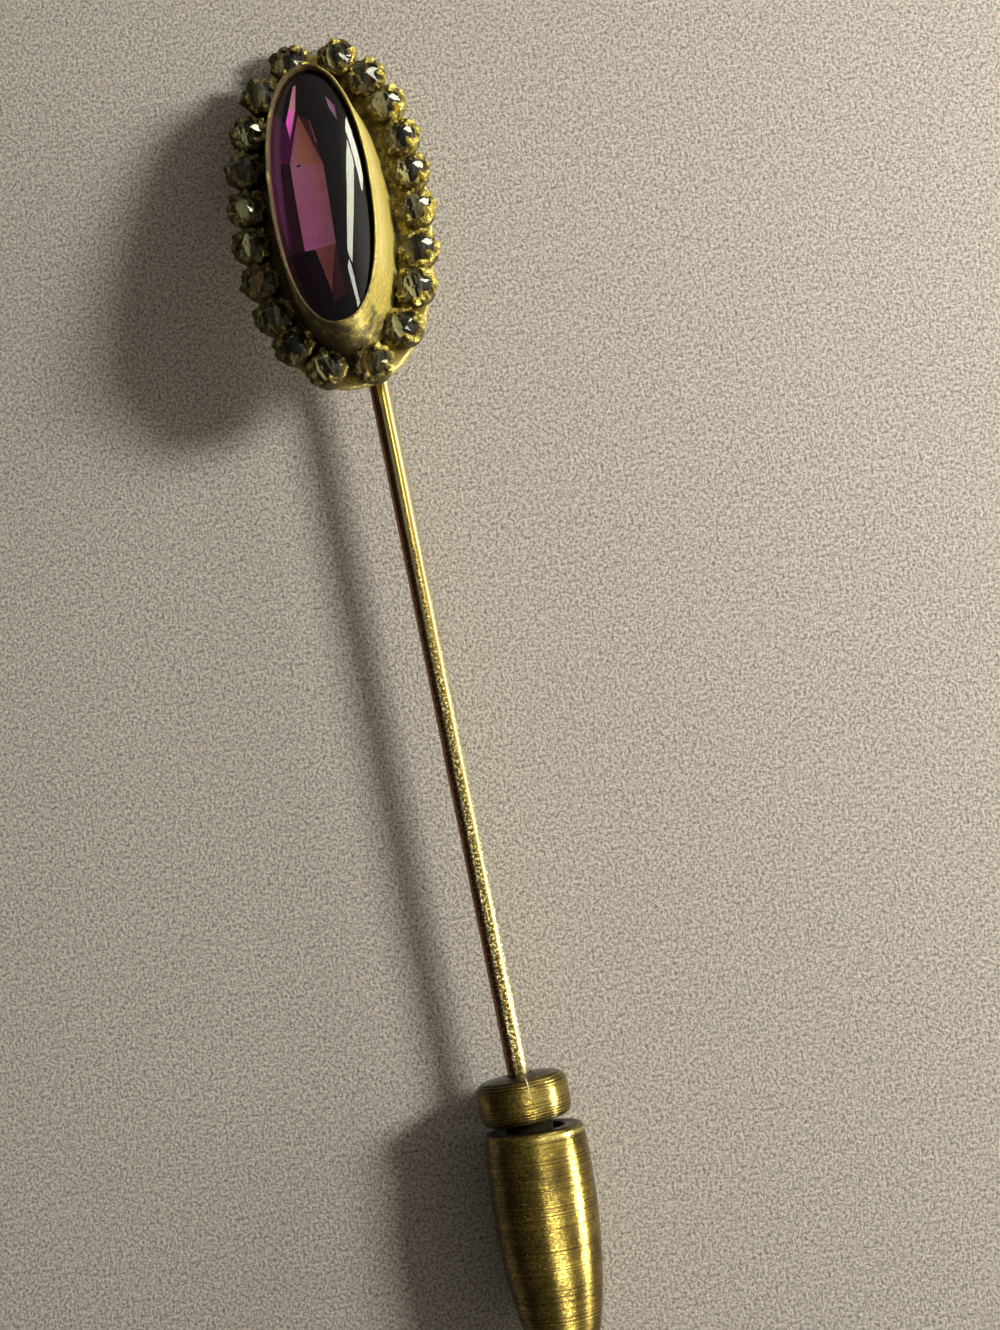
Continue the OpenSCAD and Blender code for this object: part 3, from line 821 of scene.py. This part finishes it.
class PIN_OT_halo_stones(bpy.types.Operator):
    """Cut the twenty small stones: table, star, main and girdle facets over a foiled keel"""
    bl_idname = "stick_pin.halo_stones"
    bl_label = "Halo stones"

    def execute(self, context):
        """The crown has eight flat kites from the table to the girdle: the height of their side
        corners is on the straight line from top to foot. The girdle is a soft cushion: its radius
        is the half width times the sum of the cosine's and the sine's power of 2.5, to the power
        of minus 0.4. Under it, each of two steps is a half oval, deepest across the middle."""
        k, j, i = np.arange(8), np.arange(32), np.arange(1, 15)
        k_on, j_on = (k + 1) % 8, (j + 1) % 32
        # Where each ring of points starts, and the girdle's half width and upper edge
        table, star, girdle, under, upper, nether = 0, 8, 16, 48, 79, 94
        girdle_r, girdle_z = 0.66, 1.06
        foot, foot_on = girdle + 4 * k, girdle + 4 * k_on
        crown = [[*range(8)]]
        crown += faces_of(table + k, star + k, table + k_on)
        crown += faces_of(table + k, star + (k - 1) % 8, foot, star + k)
        crown += faces_of(star + k, foot, foot + 1, foot + 2)
        crown += faces_of(star + k, foot + 2, foot + 3, foot_on)
        crown += faces_of(girdle + j, under + j, under + j_on, girdle + j_on)
        # Under the girdle, bars between fifteen chords, with a slope at each end of a bar
        lower = faces_of(upper + i, upper + i + 1, under + i + 1, under + i)
        lower += faces_of(nether + i, nether + i + 1, upper + i + 1, upper + i)
        lower += faces_of(under + 32 - i, under + 31 - i, nether + i + 1, nether + i)
        lower += [[nether + 1, upper + 1, under + 1, under, under + 31],
                  [upper + 15, nether + 15, under + 17, under + 16, under + 15]]
        corners = np.array([len(face) for face in lower])
        materials = [clear_glass("smoky glass", context.scene.pin_colours.smoke, 1.55),
                     foil("smoky foil", 0.25)]
        eighth, about = k * math.pi / 4, j * math.pi / 16
        chord = np.arange(1, 16) * math.pi / 16
        steps = [np.stack([0.62 * np.cos(chord), 0.32 * way * np.sin(chord),
                           0.96 - 0.34 * np.sin(chord)], -1) for way in (1, -1)]
        cushion = girdle_r * (np.abs(np.cos(about)) ** 2.5 + np.abs(np.sin(about)) ** 2.5) ** -0.4
        for number, middle in enumerate(seat_frames()[0], 1):
            glint = number in GLINTS
            inner, top = (0.28, 1.426) if glint else (rng.uniform(0.15, 0.28), rng.uniform(1.27, 1.37))
            shift = (-0.08, 0) if glint else rng.normal(0, 0.05, 2)
            side = 0.5 * (0.68 + inner)
            fall = (side * math.cos(math.pi / 8) - inner) / (girdle_r - inner)
            side_z = top - (top - girdle_z) * fall
            points = np.concatenate([
                ring_of(inner, eighth, top) + (*shift, 0),
                ring_of(side, eighth + math.pi / 8, side_z) + (0.5 * shift[0], 0.5 * shift[1], 0),
                ring_of(cushion, about, girdle_z), ring_of(cushion, about, girdle_z - 0.08), *steps])
            spin = rng.normal(0, 0.14)
            lean = rng.normal(0, 0.09, 2)
            if glint:
                spin, lean = GLINT_TURN, (rng.normal(0, 0.01), 0)
            points[:, 2] += points[:, :2] @ lean
            points = spun(points, spin) + (*middle, 0)
            tones = np.repeat(self.tones(), corners, axis=0)
            stone("paste_stone_%02d" % number, points, crown, lower, tones, materials,
                  "halo_stone_%02d" % number, False)
        return {"FINISHED"}

    def tones(self):
        """Foil tones for one stone: each bar dark, middling or light olive, or orange-brown, with
        its two ends a little off it, and the two end caps dark."""
        base = np.array([(0.014, 0.013, 0.008), (0.08, 0.075, 0.043), (0.4, 0.38, 0.24),
                         (0.28, 0.14, 0.04)])
        bar = base[rng.choice(4, 14, p=[0.44, 0.28, 0.23, 0.05])]
        bars = (np.array([bar] * 3) * rng.uniform(0.35, 1.25, (3, 14, 1))).reshape(-1, 3)
        return np.concatenate([bars, base[[0, 1]]])


# Turned lines of the barrel and the collar: how far down each lies, and its half width
BARREL_CUTS = ((2.0, 0.02), (2.15, 0.015), (3.7, 0.02), (3.85, 0.02), (5.1, 0.03), (5.25, 0.02),
               (7.3, 0.03), (7.5, 0.02))
COLLAR_CUTS = ((0.17, 0.022), (0.28, 0.024), (0.4, 0.026), (0.53, 0.018), (1.4, 0.018), (1.53, 0.026),
               (1.66, 0.024), (1.78, 0.022))


def bells(run, cuts):
    """The sum of narrow bell curves at each place of a run, one for each cut's place and width."""
    at, width = np.array(cuts).T
    return np.exp(-((run[:, None] - at) / width) ** 2).sum(1)


def shaded_side(cols):
    """Painted shade on the left of a turned piece, laid into its wear: one, less a share of how far left it
    faces.
    """
    left = -np.cos(circle(cols))
    return 1 - 0.55 * np.clip(0.3 + 0.7 * left, 0, 1)


class PIN_OT_collar(bpy.types.Operator):
    """Turn the clutch's collar: rounded edges, fine turned lines, and the neck and flange"""
    bl_idname = "stick_pin.collar"
    bl_label = "Clutch collar"

    def execute(self, context):
        """Each edge is a quarter of an ellipse, wider along the end than down the side. The face
        is dished by a square law, with two faint turned rings on it."""
        cols, wide, dish, hole, bore, neck_r, flange_r = 192, 0.5, 0.08, 0.62, 0.54, 1.0, 1.45
        bend, inset = quarter(26)
        edge = np.stack([dish + 0.45 * bend, COLLAR_R - wide * inset], -1)
        side = np.stack([np.linspace(0.56, COLLAR_H - 0.48, 30), np.full(30, COLLAR_R)], -1)
        lower = np.stack([COLLAR_H - 0.45 * bend, COLLAR_R - wide * inset], -1)[::-1]
        shell = np.concatenate([edge, side, lower])
        groove = context.scene.pin_sizes.groove / MM
        shell[:, 1] -= groove * bells(shell[:, 0], COLLAR_CUTS)
        face_r = np.linspace(hole, COLLAR_R - wide, 12)[:-1]
        rings = bells(face_r, ((1.05, 0.04), (1.3, 0.05)))
        hollow = dish * ((face_r - hole) / (COLLAR_R - wide - hole)) ** 2
        face = np.stack([hollow + 0.012 * rings, face_r], -1)
        flange = COLLAR_H + CLUTCH_GAP + 0.75
        back = [(COLLAR_H, neck_r + 0.2), (COLLAR_H, neck_r + 0.02), (COLLAR_H + 0.02, neck_r),
                (flange, neck_r), (flange, flange_r - 0.05), (flange + 0.05, flange_r),
                (flange + 0.35, flange_r), (flange + 0.4, flange_r - 0.05), (flange + 0.4, bore),
                (0.04, bore), (0.01, bore + 0.03)]
        profile = np.concatenate([face, shell, back])
        pits = bells(shell[:, 0], [(cut[0], 0.022) for cut in COLLAR_CUTS])
        on_shell = np.interp(shell[:, 0], [0.08, 0.3, 0.5, 1.45, 1.7, 1.95],
                             [0.1, 0.62, 0.74, 0.74, 0.62, 0.2]) - 0.6 * np.clip(pits, 0, 1)
        wear_and_shade = np.concatenate([np.full(len(face), 0.07), on_shell, np.full(len(back), 0.04)])
        grid = turned(profile[:, ::-1] + (0, REACH), cols)
        wear_and_shade = np.clip(wear_and_shade, 0, 1)[:, None] * shaded_side(cols)
        skin("collar", [{"grid": stem_to_row(grid), "wear_and_shade": wear_and_shade, "loop": True, "length": profile[:, 0]}],
             antique_brass("collar brass", context.scene.pin_colours, scratch=True),
             "collar", ["clutch_collar"])
        return {"FINISHED"}


class PIN_OT_barrel(bpy.types.Operator):
    """Turn the clutch's barrel: a softened mouth, a bullet outline and its bored inside"""
    bl_idname = "stick_pin.barrel"
    bl_label = "Clutch barrel"

    def execute(self, context):
        """Both ways from the belly the outline is an ellipse: the belly's radius times the root of
        one less the square of the share of the way to where the ellipse would close."""
        nose = BARREL_LENGTH - BARREL_BELLY
        crown = BARREL_BELLY / math.sqrt(1 - (BARREL_MOUTH / BARREL_BELLY_R) ** 2)
        cols, round_at, straight, bore_r, bore_end, groove = 192, 0.2, 8.6, 1.0, 9.0, 0.007
        chamber_r, chamber, lip_r = 1.72, (0.6, 3.2), 1.32
        turn = np.linspace(math.asin((straight - BARREL_BELLY) / nose), math.pi / 2, 44)[1:]
        run = np.concatenate([np.linspace(round_at, straight, 150), BARREL_BELLY + nose * np.sin(turn)])
        share = (run - BARREL_BELLY) / np.where(run < BARREL_BELLY, crown, nose)
        radius = BARREL_BELLY_R * np.sqrt(np.clip(1 - share ** 2, 0, 1))
        radius -= np.where(run < straight + 1, groove * bells(run, BARREL_CUTS), 0)
        radius[-1] = 0
        bend, inset = quarter(7)
        mouth = np.stack([round_at * bend, radius[0] - round_at * inset], -1)[:-1]
        inside = [(bore_end, 0.0), (bore_end, bore_r - 0.02), (bore_end - 0.05, bore_r),
                  (chamber[1], bore_r), (chamber[1], chamber_r), (chamber[0], chamber_r),
                  (chamber[0], lip_r), (0.04, lip_r), (0.0, lip_r + 0.04)]
        profile = np.concatenate([inside, mouth, np.stack([run, radius], -1)])
        # Painted shadow: the bore is darkest, and the mouth's face darkens towards the bore, in the gap
        # under the collar
        wear_and_shade = np.concatenate([np.full(len(inside), 0.0), np.linspace(0.05, 0.85, len(mouth)) ** 1.5,
                               np.interp(run, [0.26, 0.4, 1, BARREL_LENGTH], [0.95, 0.6, 0.55, 0.6])])
        grid = turned(profile[:, ::-1], cols)
        wear_and_shade = wear_and_shade[:, None] * shaded_side(cols)
        skin("barrel", [{"grid": barrel_to_row(grid), "wear_and_shade": wear_and_shade, "length": profile[:, 0]}],
             antique_brass("barrel brass", context.scene.pin_colours), "barrel", ["clutch_barrel"])
        return {"FINISHED"}


# The stage: camera, floor and lights

# Where the camera stands in millimetres, its turns in radians in their order, and its lens
CAMERA_AT = (11.77229, -6.33258, 93.08189)
CAMERA_TURNS = (("Y", 0.095), ("X", 0.07556), ("Z", -0.20146))
FOCAL_PIXELS, FRAME_PIXELS, SENSOR = 2150, 1330, 36

# Where each light's angles are counted from, in millimetres
HEAD, CLUTCH, MIDDLE_AT = (0.0, 21.4, 5.0), (0.4, -22.0, 2.2), (0.0, 0.0, 3.0)
# Name, the place it is aimed at, distance, azimuth, elevation, width and height in degrees,
# radiance, colour, and whether it only gleams, or only lights and shades
LIGHTS = (
    ("key", MIDDLE_AT, 120, 10, 31.6, 11, 11, 104.0, (1.0, 0.97, 0.92), False),
    ("low", MIDDLE_AT, 300, 6, 12, 34, 14, 9.0, (1.0, 0.97, 0.92), False),
    ("window", HEAD, 120, 42, 1.5, 15, 9, 16.5, (1.0, 1.0, 0.78), True),
    ("window strip", HEAD, 120, 44.5, 29.5, 7, 43, 15.5, (1.0, 1.0, 0.78), True),
    ("window end", HEAD, 120, 24, 58, 26, 6.5, 13.0, (1.0, 1.0, 0.85), True),
    ("side", CLUTCH, 50, -13, 4, 9, 7, 330.0, (1.0, 0.98, 0.86), True),
    ("near end", CLUTCH, 50, -50, 54, 5, 36, 48.0, (1.0, 0.98, 0.86), True),
)
# Room light by how far to the right it comes from, from the far left to the far right
ROOM = ((0.05, (0.02, 0.018, 0.016)), (0.5, (0.13, 0.12, 0.105)), (0.86, (0.34, 0.32, 0.29)),
        (1.0, (1.5, 1.42, 1.25)))
ROOM_RIGHT = (0.96, 0.2, 0.2)


class PIN_OT_stage(bpy.types.Operator):
    """Set the stage: the camera, a pale floor, soft lights and a dim room"""
    bl_idname = "stick_pin.stage"
    bl_label = "Stage"

    def execute(self, context):
        scene = context.scene
        data = bpy.data.cameras.new("camera")
        data.sensor_fit, data.sensor_width, data.sensor_height = "AUTO", SENSOR, SENSOR
        data.lens = SENSOR * FOCAL_PIXELS / FRAME_PIXELS
        data.clip_start, data.clip_end = 0.001, 10
        place = Matrix.Translation(Vector(CAMERA_AT) * MM)
        for axis, turn in CAMERA_TURNS:
            place = place @ Matrix.Rotation(turn, 4, axis)
        scene.camera = placed("camera", data)
        scene.camera.matrix_world = place
        self.floor(scene)
        for light in LIGHTS:
            self.light(*light)
        self.room(scene)
        scene.view_settings.view_transform = "Standard"
        return {"FINISHED"}

    def floor(self, scene):
        """A square of pale paper at the height that the pin rests on."""
        half = 300 * MM
        mesh = bpy.data.meshes.new("floor")
        corners = [(-half, -half, 0), (half, -half, 0), (half, half, 0), (-half, half, 0)]
        mesh.from_pydata(corners, [], [(0, 1, 2, 3)])
        mesh.materials.append(paper(scene.pin_colours))
        placed("floor", mesh)

    def light(self, name, at, distance, azimuth, elevation, width, height, radiance,
              colour, gleam):
        """A rectangle of light. Its power is radiance times pi times its area. A gleam is only
        reflected, and any other light is only scattered."""
        az, el = math.radians(azimuth), math.radians(elevation)
        way = Vector((math.cos(el) * math.cos(az), math.cos(el) * math.sin(az), math.sin(el)))
        data = bpy.data.lights.new(name, "AREA")
        data.shape = "RECTANGLE"
        data.size = 2 * distance * MM * math.tan(math.radians(width) / 2)
        data.size_y = 2 * distance * MM * math.tan(math.radians(height) / 2)
        data.energy = radiance * math.pi * data.size * data.size_y
        data.color = colour
        lamp = placed(name, data)
        lamp.visible_glossy, lamp.visible_diffuse, lamp.visible_camera = gleam, not gleam, False
        place = Matrix.Translation((Vector(at) + way * distance) * MM)
        lamp.matrix_world = place @ way.to_track_quat("Z", "Y").to_matrix().to_4x4()

    def room(self, scene):
        """Soft light from all round, dim on the left and brighter on the right."""
        s = Shader("room", "worlds")
        right = s.node("VectorMath", "Value", {0: s.node("TexCoord", "Generated"), 1: ROOM_RIGHT},
                       operation="DOT_PRODUCT")
        tone = s.ramp(s.math("MULTIPLY_ADD", right, 0.5, 0.5), *ROOM)
        s.put(s.tree.nodes["Background"].inputs["Color"], tone)
        scene.world = s.owner


class PIN_PT_panel(bpy.types.Panel):
    """The pin's sizes, colours and steps"""
    bl_label = "Stick pin"
    bl_idname = "PIN_PT_panel"
    bl_space_type = "VIEW_3D"
    bl_region_type = "UI"
    bl_category = "Stick pin"

    def draw(self, context):
        for group in (context.scene.pin_sizes, context.scene.pin_colours):
            for name in group.__annotations__:
                self.layout.prop(group, name)
        for step in STEPS:
            self.layout.operator(step.bl_idname)


STEPS = (PIN_OT_plate, PIN_OT_bezel, PIN_OT_seats, PIN_OT_stem, PIN_OT_center_stone,
         PIN_OT_halo_stones, PIN_OT_collar, PIN_OT_barrel, PIN_OT_stage)
CLASSES = (PinSizes, PinColours, *STEPS, PIN_PT_panel)


def register():
    for cls in CLASSES:
        bpy.utils.register_class(cls)
    bpy.types.Scene.pin_sizes = bpy.props.PointerProperty(type=PinSizes)
    bpy.types.Scene.pin_colours = bpy.props.PointerProperty(type=PinColours)


def unregister():
    del bpy.types.Scene.pin_colours, bpy.types.Scene.pin_sizes
    for cls in reversed(CLASSES):
        bpy.utils.unregister_class(cls)


def main():
    register()
    for step in STEPS:
        getattr(bpy.ops.stick_pin, step.bl_idname.split(".")[1])()


if __name__ == "__main__":
    main()
